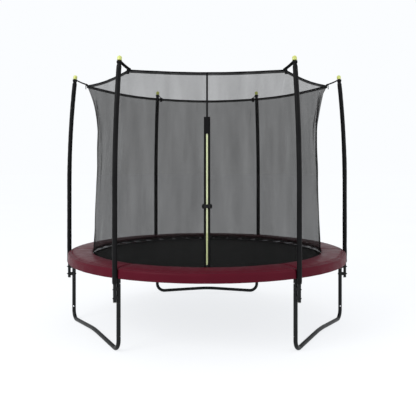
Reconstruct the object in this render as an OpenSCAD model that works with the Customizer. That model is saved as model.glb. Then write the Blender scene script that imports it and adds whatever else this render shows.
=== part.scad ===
// Round garden trampoline on three W-legs, with a six-pole safety net.
// Millimetres, +Z up. The origin is on the ground under the middle of the mat.
// The front, where the door is, faces -Y.

/* [Overall] */
// Outside diameter of the steel ring
ring_d = 2438; // [2000:1:3100]
// Height of the ring's centreline above the ground
ring_h = 585; // [480:1:760]
// Height of the pole caps above the ground
total_h = 2196; // [1900:1:2600]
// Angle between the two uprights of one leg, seen from above
leg_spread = 54; // [50:0.5:62]

/* [Ring and legs] */
// Diameter of the ring tube
ring_tube_d = 38; // [32:0.5:46]
// Diameter of the leg tubes
leg_tube_d = 32; // [28:0.5:38]
// Wall of the steel tubes
tube_wall = 1.6; // [1.2:0.1:2.4]
// Radial gap where one tube slides into another
slip_gap = 0.3; // [0.2:0.05:0.5]
// How far one tube slides into another
slip_length = 45; // [30:1:70]
// Drop of the leg sockets below the ring's centreline
socket_drop = 85; // [70:1:110]
// Bend radius of the leg base at each end
base_bend_r = 75; // [60:1:100]
// Rise angle of the leg base towards its middle
base_rise = 3.6; // [2:0.1:5]
// Bend radius of the leg base in the middle
base_crown_r = 1500; // [600:10:2500]
// Height of the joint between upright and leg base
base_joint_h = 135; // [130:1:180]

/* [Poles] */
// Diameter of the enclosure pole tubes
pole_d = 25; // [22:0.5:30]
// Distance from a leg's centreline out to its pole's centreline
pole_offset = 42; // [41:0.5:50]
// Height of a pole's lower end above the ground
pole_foot_h = 380; // [330:1:420]
// Height at which the lower and upper pole tubes meet
pole_joint_h = 1150; // [1000:1:1400]
// Bend radius of the upper pole tubes
pole_bend_r = 9000; // [7000:100:40000]
// Diameter of the foam sleeves
sleeve_d = 38; // [34:0.5:40]
// Height of the foam sleeves' lower end
sleeve_foot_h = 515; // [500:1:530]
// Diameter of the pole caps
cap_d = 35; // [30:0.5:38]
// Height of a pole cap above its sleeve
cap_h = 34; // [24:1:45]

/* [Pad] */
// Radius of the pad's inner edge
pad_inner_r = 1021; // [1021:1:1030]
// Overhang of the pad's skirt beyond the ring
pad_overhang = 16; // [14:1:17]
// Thickness of the pad
pad_t = 24; // [15:1:35]
// Thickness of the pad's cover
cover_t = 1.5; // [1:0.1:2.5]
// Height of the pad's skirt, from the pad's top
skirt_h = 78; // [60:1:84]

/* [Mat and springs] */
// Number of springs
spring_count = 48; // [36:6:60]
// Diameter of the spring coils
coil_d = 22; // [18:0.5:26]
// Diameter of the spring wire
wire_d = 3.6; // [2.8:0.1:4]
// Distance from the ring's centreline in to the mat's webbing
mat_gap = 165; // [160:1:175]
// Radius of the mat's middle, which sinks the most
mat_centre_r = 550; // [400:1:700]
// Thickness of the mat
mat_t = 2.4; // [1.5:0.1:3]
// Width of the webbing round the mat's edge
webbing_w = 32; // [28:1:40]

/* [Net] */
// Radius of the net's lower edge
net_foot_r = 1017; // [1012:0.5:1018]
// Radius of the net's top corners
net_corner_r = 1085; // [1050:1:1110]
// Height of the net's top corners above the ground
net_top_h = 2098; // [1800:1:2500]
// Sag of the net's top edge between corners
net_sag = 20; // [5:1:40]
// Inward lean of the net at its corners, before it flares to the straps
net_waist = 75; // [40:1:100]
// Thickness of the net panels
net_t = 2; // [1.5:0.1:3]
// Diameter of the cord along the net's top edge
top_cord_d = 10; // [6:0.5:14]
// Width of the corner straps
strap_w = 24; // [12:1:30]

/* [Door] */
// Width of each zip tape
tape_w = 18; // [12:0.5:24]
// Width of the zip's row of teeth
chain_w = 12; // [10:0.5:18]
// Height of the zip's lower end above the net's lower edge
zip_foot = 58; // [50:1:80]
// Height of the zip's top end above the net's lower edge
zip_head = 1032; // [800:1:1200]
// Length of the zip's cover flap
flap_l = 128; // [90:1:160]
// Width of the zip's cover flap
flap_w = 44; // [36:1:60]
// Height of the buckle above the net's lower edge
buckle_h = 490; // [300:1:700]
// Width of the webbing above the zip
door_web_w = 14; // [10:1:24]

/* [Hidden] */

black = "#1c1d1e";
steel = "#c9ccce";
burgundy = "#5c2433";
lime = "#d6dc6e";
mesh_grey = [0.25, 0.25, 0.26, 0.45];

ring_r = (ring_d - ring_tube_d) / 2;
// Directions of the three legs, and of the six uprights and poles, anticlockwise
LEG_ANGLES = [90, 210, 330];
POLE_ANGLES = [for (a = LEG_ANGLES, side = [-1, 1]) a + side * leg_spread / 2];
// +1 where the leg's middle lies anticlockwise of the upright, -1 where clockwise
POLE_SIDES = [for (a = LEG_ANGLES, side = [-1, 1]) -side];
rail_angle = 360 / 6;
leg_tube_in_d = leg_tube_d - 2 * tube_wall;
leg_spigot_d = leg_tube_in_d - 2 * slip_gap;
ring_tube_in_d = ring_tube_d - 2 * tube_wall;
ring_spigot_d = ring_tube_in_d - 2 * slip_gap;
socket_foot_h = ring_h - socket_drop;
bolt_d = 6;
bolt_hole_d = 6.6;
bolt_head_d = 12;
bolt_head_h = 4;
socket_bolt_h = socket_foot_h + 14;
base_bolt_h = base_joint_h - 14;
cut = 1;

base_half_w = ring_r * sin(leg_spread / 2);
base_bend_h = leg_tube_d / 2 + base_bend_r;
base_end_s = base_half_w - base_bend_r * (1 + sin(base_rise));
base_end_h = base_bend_h - base_bend_r * cos(base_rise);
base_slope_l = (base_end_s - base_crown_r * sin(base_rise)) / cos(base_rise);
base_crown_h = base_end_h + base_slope_l * sin(base_rise);
bend_step = 0.12;
bend_lap = 1.5;

pole_r = ring_r + pole_offset;
pole_in_d = pole_d - 2 * tube_wall;
pole_top_h = total_h - cap_h;
pole_bend_h = pole_joint_h + slip_length + 5;
pole_bend_angle = asin((pole_top_h - pole_bend_h) / pole_bend_r);
pole_top_r = pole_r - pole_bend_r * (1 - cos(pole_bend_angle));
pole_cap_gap = 3;
pole_neck = 4;
sleeve_gap = 0.4;
cap_dome_h = 12;
cap_dome_r = (cap_d * cap_d / 4 + cap_dome_h * cap_dome_h) / 2 / cap_dome_h;
cap_plug_l = 22;
clamp_bolt_l = leg_tube_d / 2 + pole_offset + pole_d / 2 + 9;
clamp_nut_d = 11.5;
clamp_nut_h = 5;
clamp_low_h = pole_foot_h + 30;
clamp_high_h = pole_foot_h + 95;
spacer_h = 26;
plug_lip = 5;

pad_top_h = ring_h + ring_tube_d / 2 + 3.5 + pad_t;
pad_foot_h = pad_top_h - pad_t;
skirt_r = ring_d / 2 + pad_overhang;
pad_notch_r = sleeve_d / 2 + 1;
pad_edge_round = 9;
foam_gap = 0.4;

webbing_r = ring_r - mat_gap;
webbing_in_r = webbing_r - webbing_w;
mat_r = webbing_in_r + 12;
webbing_t = 6.4;
v_ring_t = 4;
v_ring_w = 34;
v_ring_l = 32;
v_ring_root_r = webbing_r - 7;
v_ring_tip_r = v_ring_root_r + v_ring_l + 2;
hook_r = v_ring_tip_r - 13;
coil_in_r = v_ring_tip_r + 6;
coil_out_r = ring_r - ring_tube_d / 2 - 13;
hook_rise = 5;
spring_hole_d = 5;
spring_pitch = 360 / spring_count;

net_foot_h = ring_h + 5;
panel_rows = 12;
panel_steps = 10;
panel_gap = 0.03;
// Directions of the net's six corners, with the first one repeated after a full turn
NET_CORNERS = concat(POLE_ANGLES, [POLE_ANGLES[0] + 360]);
front_half = (POLE_ANGLES[4] - POLE_ANGLES[3]) / 2;
front_dir = (POLE_ANGLES[4] + POLE_ANGLES[3]) / 2;
door_top_r = net_corner_r * cos(front_half);
door_lean = atan((net_foot_r - door_top_r) / (net_top_h - net_sag - net_foot_h));
door_l = (net_top_h - net_sag - net_foot_h) / cos(door_lean);
door_half = chain_w / 2 + tape_w + 0.4;

chain_t = 3;
chain_slit = 2.4;
tape_t = 1.6;
slider_w = 17;
slider_l = 20;
slider_plate_t = 1.6;
slider_gap = 0.4;
slider_z = zip_foot - 2 - slider_l;
slider_face = chain_t / 2 + slider_gap + slider_plate_t;
pin_d = 3;
pin_gap = 0.1;
pin_out = slider_face + 3;
pin_up = slider_z + 12;
pull_l = 34;
buckle_hole = 12.5;
buckle_t = 9;
buckle_w = 36;
// Gap between the buckle and the middle of the zip's tapes
buckle_back = 4;
socket_l = 34;
socket_window = 11;
plug_gap = 7.6;
plug_grip = 27;
prong_t = buckle_t - 5;
flap_stand = 4;
flap_t = 2;

// A tube's cross-section
module tube_ring(od, id) {
    difference() {
        circle(d = od, $fn = 48);
        circle(d = id, $fn = 48);
    }
}

// A straight tube from one height to another
module tube(od, id, low, high) {
    translate([0, 0, low]) linear_extrude(high - low) tube_ring(od, id);
}

// A tube bent round the Z axis
module bent_tube(od, id, r, start, turn) {
    rotate([0, 0, start]) rotate_extrude(angle = turn, $fn = 96)
        translate([r, 0]) tube_ring(od, id);
}

// A rod bent round the Z axis
module bent_rod(d, r, start, turn) {
    rotate([0, 0, start]) rotate_extrude(angle = turn, $fn = 96)
        translate([r, 0]) circle(d = d, $fn = 48);
}

// A bolt with a domed head, lying along +X with the underside of its head at 0
module bolt(shank) {
    rotate([0, -90, 0]) {
        cylinder(d = bolt_head_d, h = bolt_head_h * 0.4, $fn = 32);
        translate([0, 0, bolt_head_h * 0.4]) intersection() {
            translate([0, 0, -5.3]) sphere(r = 8, $fn = 48);
            cylinder(d = bolt_head_d, h = bolt_head_h, $fn = 32);
        }
        translate([0, 0, -shank]) cylinder(d = bolt_d, h = shank, $fn = 24);
    }
}

// ---- Ring ----

// Socket tube under the ring, before its bore is cut
module socket_outer() {
    translate([ring_r, 0, socket_foot_h]) cylinder(d = leg_tube_d, h = socket_drop, $fn = 48);
}

// One sixth of the ring, with its leg socket, its spring holes and the necked end
// that slides into the next rail
module frame_rail(i) {
    dir = rail_angle * (i + 1);
    half = rail_angle / 2;
    neck = 0.4;
    slip = slip_length / ring_r * 180 / PI;
    leg_off = POLE_ANGLES[i] - dir;
    color(black) rotate([0, 0, dir]) difference() {
        union() {
            translate([0, 0, ring_h]) bent_rod(ring_tube_d, ring_r, -half + 0.02, 2 * half - 0.02);
            translate([0, 0, ring_h]) bent_rod(ring_spigot_d, ring_r, half - 1, 1 + slip);
            rotate([0, 0, leg_off]) socket_outer();
        }
        translate([0, 0, ring_h]) bent_rod(ring_tube_in_d, ring_r, -half - 1, 2 * half + 1 - neck);
        translate([0, 0, ring_h])
            bent_rod(ring_spigot_d - 2 * tube_wall, ring_r, half - 1.5, slip + 3);
        rotate([0, 0, leg_off]) translate([ring_r, 0, socket_foot_h - cut])
            cylinder(d = leg_tube_in_d, h = socket_drop - ring_tube_in_d / 2 + 6, $fn = 48);
        rotate([0, 0, leg_off]) translate([ring_r, 0, socket_bolt_h]) rotate([90, 0, 0])
            cylinder(d = bolt_hole_d, h = leg_tube_d + 2 * cut, center = true, $fn = 24);
        for (k = [0 : spring_count / 6 - 1]) rotate([0, 0, (k + 0.5) * spring_pitch - half])
            translate([ring_r - ring_tube_d, 0, ring_h]) rotate([0, 90, 0])
                cylinder(d = spring_hole_d, h = ring_tube_d, $fn = 24);
    }
}

// ---- Legs ----

module at_pole(i, r = 0) {
    rotate([0, 0, POLE_ANGLES[i]]) translate([r, 0, 0]) children();
}

// Straight leg tube: necked at the top for the socket and at the foot for the base
module upright(i) {
    neck = 4;
    spigot_in_d = leg_spigot_d - 2 * tube_wall;
    color(black) at_pole(i, ring_r) difference() {
        union() {
            tube(leg_spigot_d, spigot_in_d, base_joint_h - slip_length, base_joint_h);
            tube(leg_tube_d, spigot_in_d, base_joint_h, base_joint_h + neck);
            tube(leg_tube_d, leg_tube_in_d, base_joint_h + neck, socket_foot_h - neck);
            tube(leg_tube_d, spigot_in_d, socket_foot_h - neck, socket_foot_h);
            tube(leg_spigot_d, spigot_in_d, socket_foot_h, socket_foot_h + slip_length);
        }
        for (h = [socket_bolt_h, base_bolt_h]) translate([0, 0, h]) rotate([90, 0, 0])
            cylinder(d = bolt_hole_d, h = leg_tube_d + 2 * cut, center = true, $fn = 24);
        for (h = [clamp_low_h, clamp_high_h]) translate([0, 0, h]) rotate([0, 90, 0])
            cylinder(d = bolt_hole_d, h = leg_tube_d + 2 * cut, center = true, $fn = 24);
    }
}

// Half of a leg base: its bent-up end, the bend at the ground and the slope to the crown.
// The straights are a shade slimmer than the bends and run a little way into their walls.
module base_half() {
    od = leg_tube_d - bend_step;
    id = leg_tube_in_d + bend_step;
    difference() {
        translate([base_half_w, 0, 0]) tube(od, id, base_bend_h - bend_lap, base_joint_h);
        translate([base_half_w, 0, base_bolt_h]) rotate([0, 0, leg_spread / 2]) rotate([0, 90, 0])
            cylinder(d = bolt_hole_d, h = leg_tube_d + 2 * cut, center = true, $fn = 24);
    }
    translate([base_half_w - base_bend_r, 0, base_bend_h]) rotate([90, 0, 0])
        bent_tube(leg_tube_d, leg_tube_in_d, base_bend_r, -90 - base_rise, 90 + base_rise);
    translate([base_end_s, 0, base_end_h]) rotate([0, -90 + base_rise, 0])
        tube(od, id, -bend_lap, base_slope_l + bend_lap);
}

// W-shaped base of one leg, in one vertical plane
module leg_base(dir) {
    color(black) rotate([0, 0, dir]) translate([ring_r * cos(leg_spread / 2), 0, 0])
        rotate([0, 0, 90]) {
            base_half();
            mirror([1, 0, 0]) base_half();
            translate([0, 0, base_crown_h - base_crown_r * cos(base_rise)]) rotate([90, 0, 0])
                bent_tube(leg_tube_d, leg_tube_in_d, base_crown_r, 90 - base_rise, 2 * base_rise);
        }
}

module leg_bolts() {
    color(steel) for (i = [0 : 5]) at_pole(i, ring_r) {
        away = POLE_SIDES[i];
        translate([0, -away * leg_tube_d / 2, socket_bolt_h]) rotate([0, 0, away * 90])
            translate([-0.2, 0, 0]) bolt(leg_tube_d + 6);
        translate([0, away * leg_tube_d / 2, base_bolt_h]) rotate([0, 0, -away * 90])
            translate([-0.2, 0, 0]) bolt(leg_tube_d + 6);
    }
}

// ---- Poles ----

// The bent part of a pole, from where its bend starts up to a height
module pole_arc(i, od, id, high) {
    at_pole(i, pole_r - pole_bend_r) translate([0, 0, pole_bend_h]) rotate([90, 0, 0])
        bent_tube(od, id, pole_bend_r, 0, asin((high - pole_bend_h) / pole_bend_r));
}

// Places its children on a pole's top end, leaning as the pole leans
module at_pole_top(i) {
    at_pole(i, pole_top_r) translate([0, 0, pole_top_h]) rotate([0, -pole_bend_angle, 0]) children();
}

module pole_lower(i) {
    spigot_d = pole_in_d - 2 * slip_gap;
    color(black) at_pole(i, pole_r) difference() {
        union() {
            tube(pole_d, pole_in_d, pole_foot_h, pole_joint_h - pole_neck);
            tube(pole_d, spigot_d - 2 * tube_wall, pole_joint_h - pole_neck, pole_joint_h);
            tube(spigot_d, spigot_d - 2 * tube_wall, pole_joint_h, pole_joint_h + slip_length);
        }
        for (h = [clamp_low_h, clamp_high_h]) translate([0, 0, h]) rotate([0, 90, 0])
            cylinder(d = bolt_hole_d, h = pole_d + 2 * cut, center = true, $fn = 24);
    }
}

module poles_upper() {
    color(black) for (i = [0 : 5]) {
        at_pole(i, pole_r) tube(pole_d, pole_in_d, pole_joint_h, pole_bend_h);
        pole_arc(i, pole_d, pole_in_d, pole_top_h - pole_cap_gap);
    }
}

module pole_plugs() {
    color(steel) for (i = [0 : 5]) at_pole(i, pole_r) {
        translate([0, 0, pole_foot_h - plug_lip]) cylinder(d = pole_d, h = plug_lip, $fn = 48);
        translate([0, 0, pole_foot_h]) cylinder(d = pole_in_d - 0.4, h = 12, $fn = 48);
    }
}

// Blocks between leg and pole, hollowed to seat on both tubes
module pole_spacers() {
    color(black) for (i = [0 : 5], h = [clamp_low_h, clamp_high_h]) at_pole(i) difference() {
        translate([ring_r + 4, -11, h - spacer_h / 2]) cube([pole_offset - 8, 22, spacer_h]);
        translate([ring_r, 0, h - spacer_h]) cylinder(d = leg_tube_d + 0.2, h = 2 * spacer_h, $fn = 48);
        translate([pole_r, 0, h - spacer_h]) cylinder(d = pole_d + 0.2, h = 2 * spacer_h, $fn = 48);
        translate([ring_r, 0, h]) rotate([0, 90, 0]) cylinder(d = bolt_hole_d, h = pole_offset, $fn = 24);
    }
}

module pole_bolts() {
    color(black) for (i = [0 : 5], h = [clamp_low_h, clamp_high_h])
        at_pole(i, ring_r - leg_tube_d / 2 - 0.3) translate([0, 0, h]) bolt(clamp_bolt_l);
}

module pole_nuts() {
    color(black) for (i = [0 : 5], h = [clamp_low_h, clamp_high_h])
        at_pole(i, pole_r + pole_d / 2 + 0.3) translate([0, 0, h]) rotate([0, 90, 0]) difference() {
            cylinder(d = clamp_nut_d, h = clamp_nut_h, $fn = 6);
            translate([0, 0, -cut]) cylinder(d = bolt_d + 0.3, h = clamp_nut_h + 2 * cut, $fn = 24);
        }
}

module pole_sleeves() {
    id = pole_d + 2 * sleeve_gap;
    color(black) for (i = [0 : 5]) {
        at_pole(i, pole_r) tube(sleeve_d, id, sleeve_foot_h, pole_bend_h);
        pole_arc(i, sleeve_d, id, pole_top_h - pole_cap_gap);
    }
}

module pole_caps() {
    color(lime) for (i = [0 : 5]) at_pole_top(i) {
        cylinder(d = cap_d, h = cap_h - cap_dome_h, $fn = 48);
        translate([0, 0, cap_h - cap_dome_h]) intersection() {
            translate([0, 0, cap_dome_h - cap_dome_r]) sphere(r = cap_dome_r, $fn = 64);
            cylinder(d = cap_d, h = cap_dome_h + cut, $fn = 48);
        }
        translate([0, 0, -cap_plug_l]) cylinder(d = pole_in_d - 0.6, h = cap_plug_l, $fn = 48);
    }
}

// ---- Mat and springs ----

module at_spring(k) {
    rotate([0, 0, (k + 0.5) * spring_pitch + rail_angle / 2]) translate([0, 0, ring_h]) children();
}

module springs() {
    color(steel) for (k = [0 : spring_count - 1]) at_spring(k) {
        translate([coil_in_r, 0, 0]) rotate([0, 90, 0])
            cylinder(d = coil_d, h = coil_out_r - coil_in_r, $fn = 32);
        translate([coil_out_r - 1, 0, 0]) rotate([0, 90, 0])
            cylinder(d = wire_d, h = ring_r - ring_tube_in_d / 2 + 6 - coil_out_r, $fn = 24);
        translate([hook_r, 0, hook_rise]) rotate([0, 90, 0])
            cylinder(d = wire_d, h = coil_in_r - hook_r + 1, $fn = 24);
        translate([hook_r, 0, -hook_rise]) cylinder(d = wire_d, h = 2 * hook_rise, $fn = 24);
        translate([hook_r, 0, hook_rise]) sphere(d = wire_d, $fn = 24);
    }
}

module v_rings() {
    bar = 4;
    slope = atan(v_ring_w / 2 / v_ring_l);
    color(steel) for (k = [0 : spring_count - 1]) at_spring(k)
        translate([0, 0, -v_ring_t / 2]) linear_extrude(v_ring_t) difference() {
            polygon([
                [v_ring_root_r, -v_ring_w / 2], [v_ring_tip_r - 2, -1.4],
                [v_ring_tip_r - 2, 1.4], [v_ring_root_r, v_ring_w / 2]
            ]);
            polygon([
                [v_ring_root_r + bar, -v_ring_w / 2 + bar * 1.7],
                [v_ring_tip_r - bar / sin(slope), 0],
                [v_ring_root_r + bar, v_ring_w / 2 - bar * 1.7]
            ]);
        }
}

// Folded webbing: it grips the mat on its inner side and the V-rings on its outer side
module mat_webbing() {
    color(black) translate([0, 0, ring_h]) rotate_extrude($fn = 128) difference() {
        translate([webbing_in_r, -webbing_t / 2]) square([webbing_w, webbing_t]);
        translate([webbing_in_r - cut, -mat_t / 2 - 0.2]) square([13.4, mat_t + 0.4]);
        translate([v_ring_root_r - 2, -v_ring_t / 2 - 0.3]) square([20, v_ring_t + 0.6]);
    }
}

module mat_border() {
    color(black) translate([0, 0, ring_h - mat_t / 2]) difference() {
        cylinder(r = mat_r, h = mat_t, $fn = 128);
        translate([0, 0, -cut]) cylinder(r = mat_centre_r + 0.5, h = mat_t + 2 * cut, $fn = 128);
    }
}

module mat_centre() {
    color(black) translate([0, 0, ring_h - mat_t / 2]) cylinder(r = mat_centre_r, h = mat_t, $fn = 128);
}

// ---- Pad ----

// The cover's outline: flat pad, rounded outer edge and a skirt that hangs outside the ring
module cover_profile() {
    difference() {
        union() {
            translate([pad_inner_r, pad_foot_h]) square([skirt_r - pad_edge_round - pad_inner_r, pad_t]);
            translate([skirt_r - pad_edge_round, pad_top_h - pad_edge_round])
                circle(r = pad_edge_round, $fn = 48);
            translate([skirt_r - 2 * pad_edge_round, pad_foot_h])
                square([2 * pad_edge_round, pad_t - pad_edge_round]);
            translate([skirt_r - 2 * cover_t, pad_top_h - skirt_h])
                square([2 * cover_t, skirt_h - pad_edge_round]);
        }
        translate([pad_inner_r + cover_t, pad_foot_h + cover_t])
            square([skirt_r - pad_edge_round - pad_inner_r - cover_t, pad_t - 2 * cover_t]);
    }
}

// Room for a pole and its sleeve in the pad's outer edge
module pole_notch(i) {
    at_pole(i, pole_r) translate([0, 0, pad_top_h - skirt_h - cut])
        cylinder(r = pad_notch_r, h = skirt_h + 2 * cut, $fn = 48);
}

// One section of the cover, from one pole round to the next
module pad_cover(i) {
    a = NET_CORNERS[i];
    turn = NET_CORNERS[i + 1] - a;
    color(burgundy) difference() {
        rotate([0, 0, a + 0.02]) rotate_extrude(angle = turn - 0.04, $fn = 128) cover_profile();
        pole_notch(i);
        pole_notch((i + 1) % 6);
    }
}

module pad_foam() {
    margin = 1.2;
    color("ivory") for (i = [0 : 5])
        rotate([0, 0, NET_CORNERS[i] + margin])
            rotate_extrude(angle = NET_CORNERS[i + 1] - NET_CORNERS[i] - 2 * margin, $fn = 128)
                translate([pad_inner_r + cover_t + foam_gap, pad_foot_h + cover_t + foam_gap])
                    square([
                        skirt_r - pad_edge_round - pad_inner_r - cover_t - 2 * foam_gap - 14,
                        pad_t - 2 * (cover_t + foam_gap)
                    ]);
}

// Elastic loops that hold the pad down to the ring
module pad_ties() {
    cord = 2.4;
    color(black) for (k = [0 : 11]) rotate([0, 0, 45 + 30 * k]) translate([ring_r, 0, ring_h])
        rotate([90, 0, 0]) rotate_extrude($fn = 64)
            translate([ring_tube_d / 2 + cord / 2 + 0.7, 0]) circle(d = cord, $fn = 24);
}

// ---- Net ----

// Radius of the net at a direction off the middle of a panel, and a share of its height
function net_mid_r(half, t) = net_foot_r + (net_corner_r * cos(half) - net_foot_r) * t;
function net_edge_r(t) =
    net_foot_r - net_waist * t + (net_corner_r - net_foot_r + net_waist) * pow(t, 6);
function net_share(half, off) = (cos(half) / cos(off) - cos(half)) / (1 - cos(half));
function net_r(half, off, t) =
    net_mid_r(half, t) + net_share(half, off) * (net_edge_r(t) - net_mid_r(half, t));
function net_z(half, off, t) =
    net_foot_h + t * (net_top_h - net_sag * (1 - pow(off / half, 2)) - net_foot_h);
function net_point(dir, half, off, t, out) =
    let (r = net_r(half, off, t) + out)
        [r * cos(dir + off), r * sin(dir + off), net_z(half, off, t)];

// A closed sheet between two directions of one panel, both measured from its middle
module net_sheet(dir, half, off0, off1) {
    n = panel_steps;
    m = panel_rows;
    row = n + 1;
    side = row * (m + 1);
    pts = [
        for (s = [-1, 1], j = [0 : m], i = [0 : n])
            net_point(dir, half, off0 + (off1 - off0) * i / n, j / m, s * net_t / 2)
    ];
    grid = [for (j = [0 : m - 1], i = [0 : n - 1]) j * row + i];
    rim = concat(
        [for (i = [0 : n]) i],
        [for (j = [1 : m]) j * row + n],
        [for (i = [n - 1 : -1 : 0]) m * row + i],
        [for (j = [m - 1 : -1 : 1]) j * row]
    );
    faces = concat(
        [for (p = grid) [p, p + 1, p + row + 1]],
        [for (p = grid) [p, p + row + 1, p + row]],
        [for (p = grid) [side + p, side + p + row + 1, side + p + 1]],
        [for (p = grid) [side + p, side + p + row, side + p + row + 1]],
        [for (k = [0 : len(rim) - 1])
            [rim[k], side + rim[k], rim[(k + 1) % len(rim)]]],
        [for (k = [0 : len(rim) - 1])
            [rim[(k + 1) % len(rim)], side + rim[k], side + rim[(k + 1) % len(rim)]]]
    );
    polyhedron(points = pts, faces = faces);
}

module net_panel(i) {
    half = (NET_CORNERS[i + 1] - NET_CORNERS[i]) / 2;
    color(mesh_grey) net_sheet(NET_CORNERS[i] + half, half, -half + panel_gap, half - panel_gap);
}

// The door panels stop at the zip, so their inner edges are cut parallel to it
module net_door(side) {
    color(mesh_grey) difference() {
        net_sheet(front_dir, front_half,
            side < 0 ? -front_half + panel_gap : 0, side < 0 ? 0 : front_half - panel_gap);
        translate([-door_half, -net_foot_r - 100, net_foot_h - 10])
            cube([2 * door_half, 300, net_top_h - net_foot_h + 20]);
    }
}

// Places its children in the door's own plane: Z up the zip, -Y out of the net
module at_door() {
    translate([0, -net_foot_r, net_foot_h]) rotate([-door_lean, 0, 0]) children();
}

module net_door_head() {
    gap = 0.3;
    color(mesh_grey) at_door() translate([-door_half + gap, -net_t / 2, zip_head + flap_l])
        cube([2 * (door_half - gap), net_t, door_l - zip_head - flap_l - 1]);
}

// The cord's route: over the top edge of each panel in turn
function cord_point(i, j, n) =
    let (half = (NET_CORNERS[i + 1] - NET_CORNERS[i]) / 2, off = -half + 2 * half * j / n)
        net_point(NET_CORNERS[i] + half, half, off, 1, 0) + [0, 0, top_cord_d / 2 + 1];

module net_top_cord() {
    n = 10;
    sides = 8;
    path = [for (i = [0 : 5], j = [0 : n - 1]) cord_point(i, j, n)];
    count = len(path);
    pts = [
        for (k = [0 : count - 1])
            let (p = path[k], dir = atan2(p[1], p[0]))
                for (s = [0 : sides - 1]) let (a = (s + 0.5) * 360 / sides)
                    p + top_cord_d / 2 * [cos(a) * cos(dir), cos(a) * sin(dir), sin(a)]
    ];
    faces = [
        for (k = [0 : count - 1], s = [0 : sides - 1], half = [0, 1])
            let (
                a = k * sides + s,
                b = k * sides + (s + 1) % sides,
                c = ((k + 1) % count) * sides + s,
                d = ((k + 1) % count) * sides + (s + 1) % sides
            ) half == 0 ? [a, b, d] : [a, d, c]
    ];
    color(black) polyhedron(points = pts, faces = faces);
}

// A strap round each pole under its cap, down over the cord at the net's corner, with a hanging tail
module corner_straps() {
    strap_t = 3;
    loop_t = 2.5;
    loop_h = 24;
    loop_drop = 36;
    tail_drop = 28;
    cord_gap = 4;
    from_h = pole_top_h - loop_drop + 10;
    from_r = pole_top_r + 1.2 - sleeve_d / 2;
    to_h = net_top_h + top_cord_d + cord_gap;
    to_r = net_corner_r - top_cord_d / 2 - 3;
    tail_r = net_corner_r + top_cord_d / 2 + 1;
    lean = atan2(from_h - to_h, from_r - to_r);
    tail_rise = to_h - net_top_h + (tail_r - to_r) * tan(lean) + 1;
    color(black) for (i = [0 : 5]) {
        at_pole_top(i) translate([0, 0, -loop_drop])
            tube(sleeve_d + 2 * loop_t, sleeve_d + 1, 0, loop_h);
        at_pole(i) {
            translate([to_r, -strap_w / 2, to_h]) rotate([0, -lean, 0])
                cube([(from_r - to_r) / cos(lean) + 1, strap_w, strap_t]);
            translate([tail_r, -strap_w / 2, net_top_h - tail_drop])
                cube([strap_t, strap_w, tail_drop + tail_rise]);
        }
    }
}

// ---- Door ----

module door_webbing() {
    color(black) at_door() translate([-door_web_w / 2, -net_t / 2 - 1.8, zip_head + flap_l + 0.5])
        cube([door_web_w, 1.6, door_l - zip_head - flap_l - 2]);
}

module zip_flap() {
    stitch_w = 3;
    color(black) at_door() translate([0, 0, zip_head]) {
        translate([-flap_w / 2, -flap_stand - flap_t, 0]) cube([flap_w, flap_t, flap_l]);
        for (x = [-flap_w / 2, flap_w / 2 - stitch_w]) translate([x, -flap_stand, 0])
            cube([stitch_w, flap_stand - tape_t / 2 - 0.1, flap_l]);
        translate([-flap_w / 2, -flap_stand, flap_l - 4])
            cube([flap_w, flap_stand - net_t / 2 - 0.2, 4]);
    }
}

module zip_tapes() {
    color(black) at_door() for (side = [0, 1]) mirror([side, 0, 0])
        translate([chain_w / 2, -tape_t / 2, 2]) cube([tape_w, tape_t, zip_head + flap_l - 3]);
}

module zip_teeth() {
    color(lime) at_door() for (side = [0, 1]) mirror([side, 0, 0])
        translate([chain_slit / 2, -chain_t / 2, zip_foot])
            cube([(chain_w - chain_slit) / 2 - 0.1, chain_t, zip_head - zip_foot + 20]);
}

// Two plates joined by the wedge that runs in the zip's slit, and the lug for the pull
module zip_slider() {
    color(black) at_door() difference() {
        union() {
            for (y = [-slider_face, slider_face - slider_plate_t]) translate([0, y, slider_z])
                rotate([-90, 0, 0]) linear_extrude(slider_plate_t) {
                    translate([-slider_w / 2, -slider_l]) square([slider_w, slider_l - 6]);
                    translate([-slider_w / 2 + 3, -8]) square([slider_w - 6, 8]);
                    for (x = [-1, 1]) translate([x * (slider_w / 2 - 5), -6]) circle(r = 5, $fn = 32);
                }
            translate([-0.8, -slider_face, slider_z + 4]) cube([1.6, 2 * slider_face, 12]);
            translate([-1.2, slider_face - 0.5, pin_up - 3]) cube([2.4, 3.5, 6]);
            translate([-1.2, pin_out, pin_up]) rotate([0, 90, 0]) cylinder(r = 3, h = 2.4, $fn = 32);
        }
        translate([-3, pin_out, pin_up]) rotate([0, 90, 0])
            cylinder(d = pin_d + 2 * pin_gap, h = 6, $fn = 32);
    }
}

// Hangs plumb from the slider's lug, so the door's lean is taken out again
module zip_pull() {
    arm_r = 2.4;
    color(black) at_door() translate([0, pin_out, pin_up]) rotate([door_lean, 0, 0]) {
        rotate([0, 90, 0]) cylinder(d = pin_d, h = 7.2, center = true, $fn = 32);
        for (x = [-3.6, 1.6]) translate([x, 0, 0]) {
            rotate([0, 90, 0]) cylinder(r = arm_r, h = 2, $fn = 32);
            translate([0, -1.2, -9]) cube([2, 2.4, 9]);
        }
        translate([-5, -1.2, -pull_l]) cube([10, 2.4, pull_l - 8]);
    }
}

// ---- Buckle ----

// Webbing tab through the slot of a buckle half that ends at x = 0 and lies along +X
module buckle_tab() {
    translate([-4, -3.2, -11]) cube([24, 1.8, 22]);
    translate([2.5, -buckle_back - buckle_t - 1.6, -11]) cube([1.8, buckle_back + buckle_t, 22]);
    translate([2.5, -buckle_back - buckle_t - 2.2, -11]) cube([9, 1.8, 22]);
}

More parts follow.
